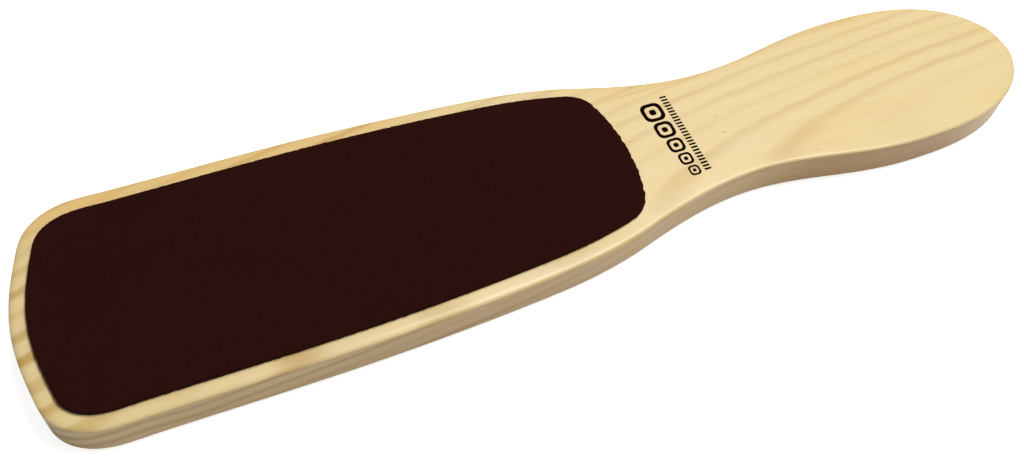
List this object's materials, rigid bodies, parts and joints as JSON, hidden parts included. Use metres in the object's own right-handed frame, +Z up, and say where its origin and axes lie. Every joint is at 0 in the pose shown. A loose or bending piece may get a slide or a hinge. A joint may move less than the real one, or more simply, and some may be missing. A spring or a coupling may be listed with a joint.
{
  "type": "foot file",
  "caption": "Wooden paddle foot file: a wide blade faced on both sides with a thin dark abrasive sheet, a waisted neck and an oval grip.",
  "frame": {"origin": "middle of the underside, on the face of the back grit coat, half way along and half way across the object", "axes": "+X along the paddle from the nose of the blade to the end of the handle, +Y across the blade, +Z up through the front sheet"},
  "size_m": [0.25, 0.0564, 0.0116],
  "materials": {
    "hardwood": "pale straw ash, fine sanded with a thin satin lacquer",
    "backing_cloth": "resin-filled dark brown cotton cloth, matte",
    "grit": "close-coated abrasive grains in dark oxblood resin, matte"
  },
  "bodies": {
    "root": {"paddle_body": "hardwood", "front_backing": "backing_cloth", "front_grit_coat": "grit", "back_backing": "backing_cloth", "back_grit_coat": "grit"}
  },
  "joints": []
}
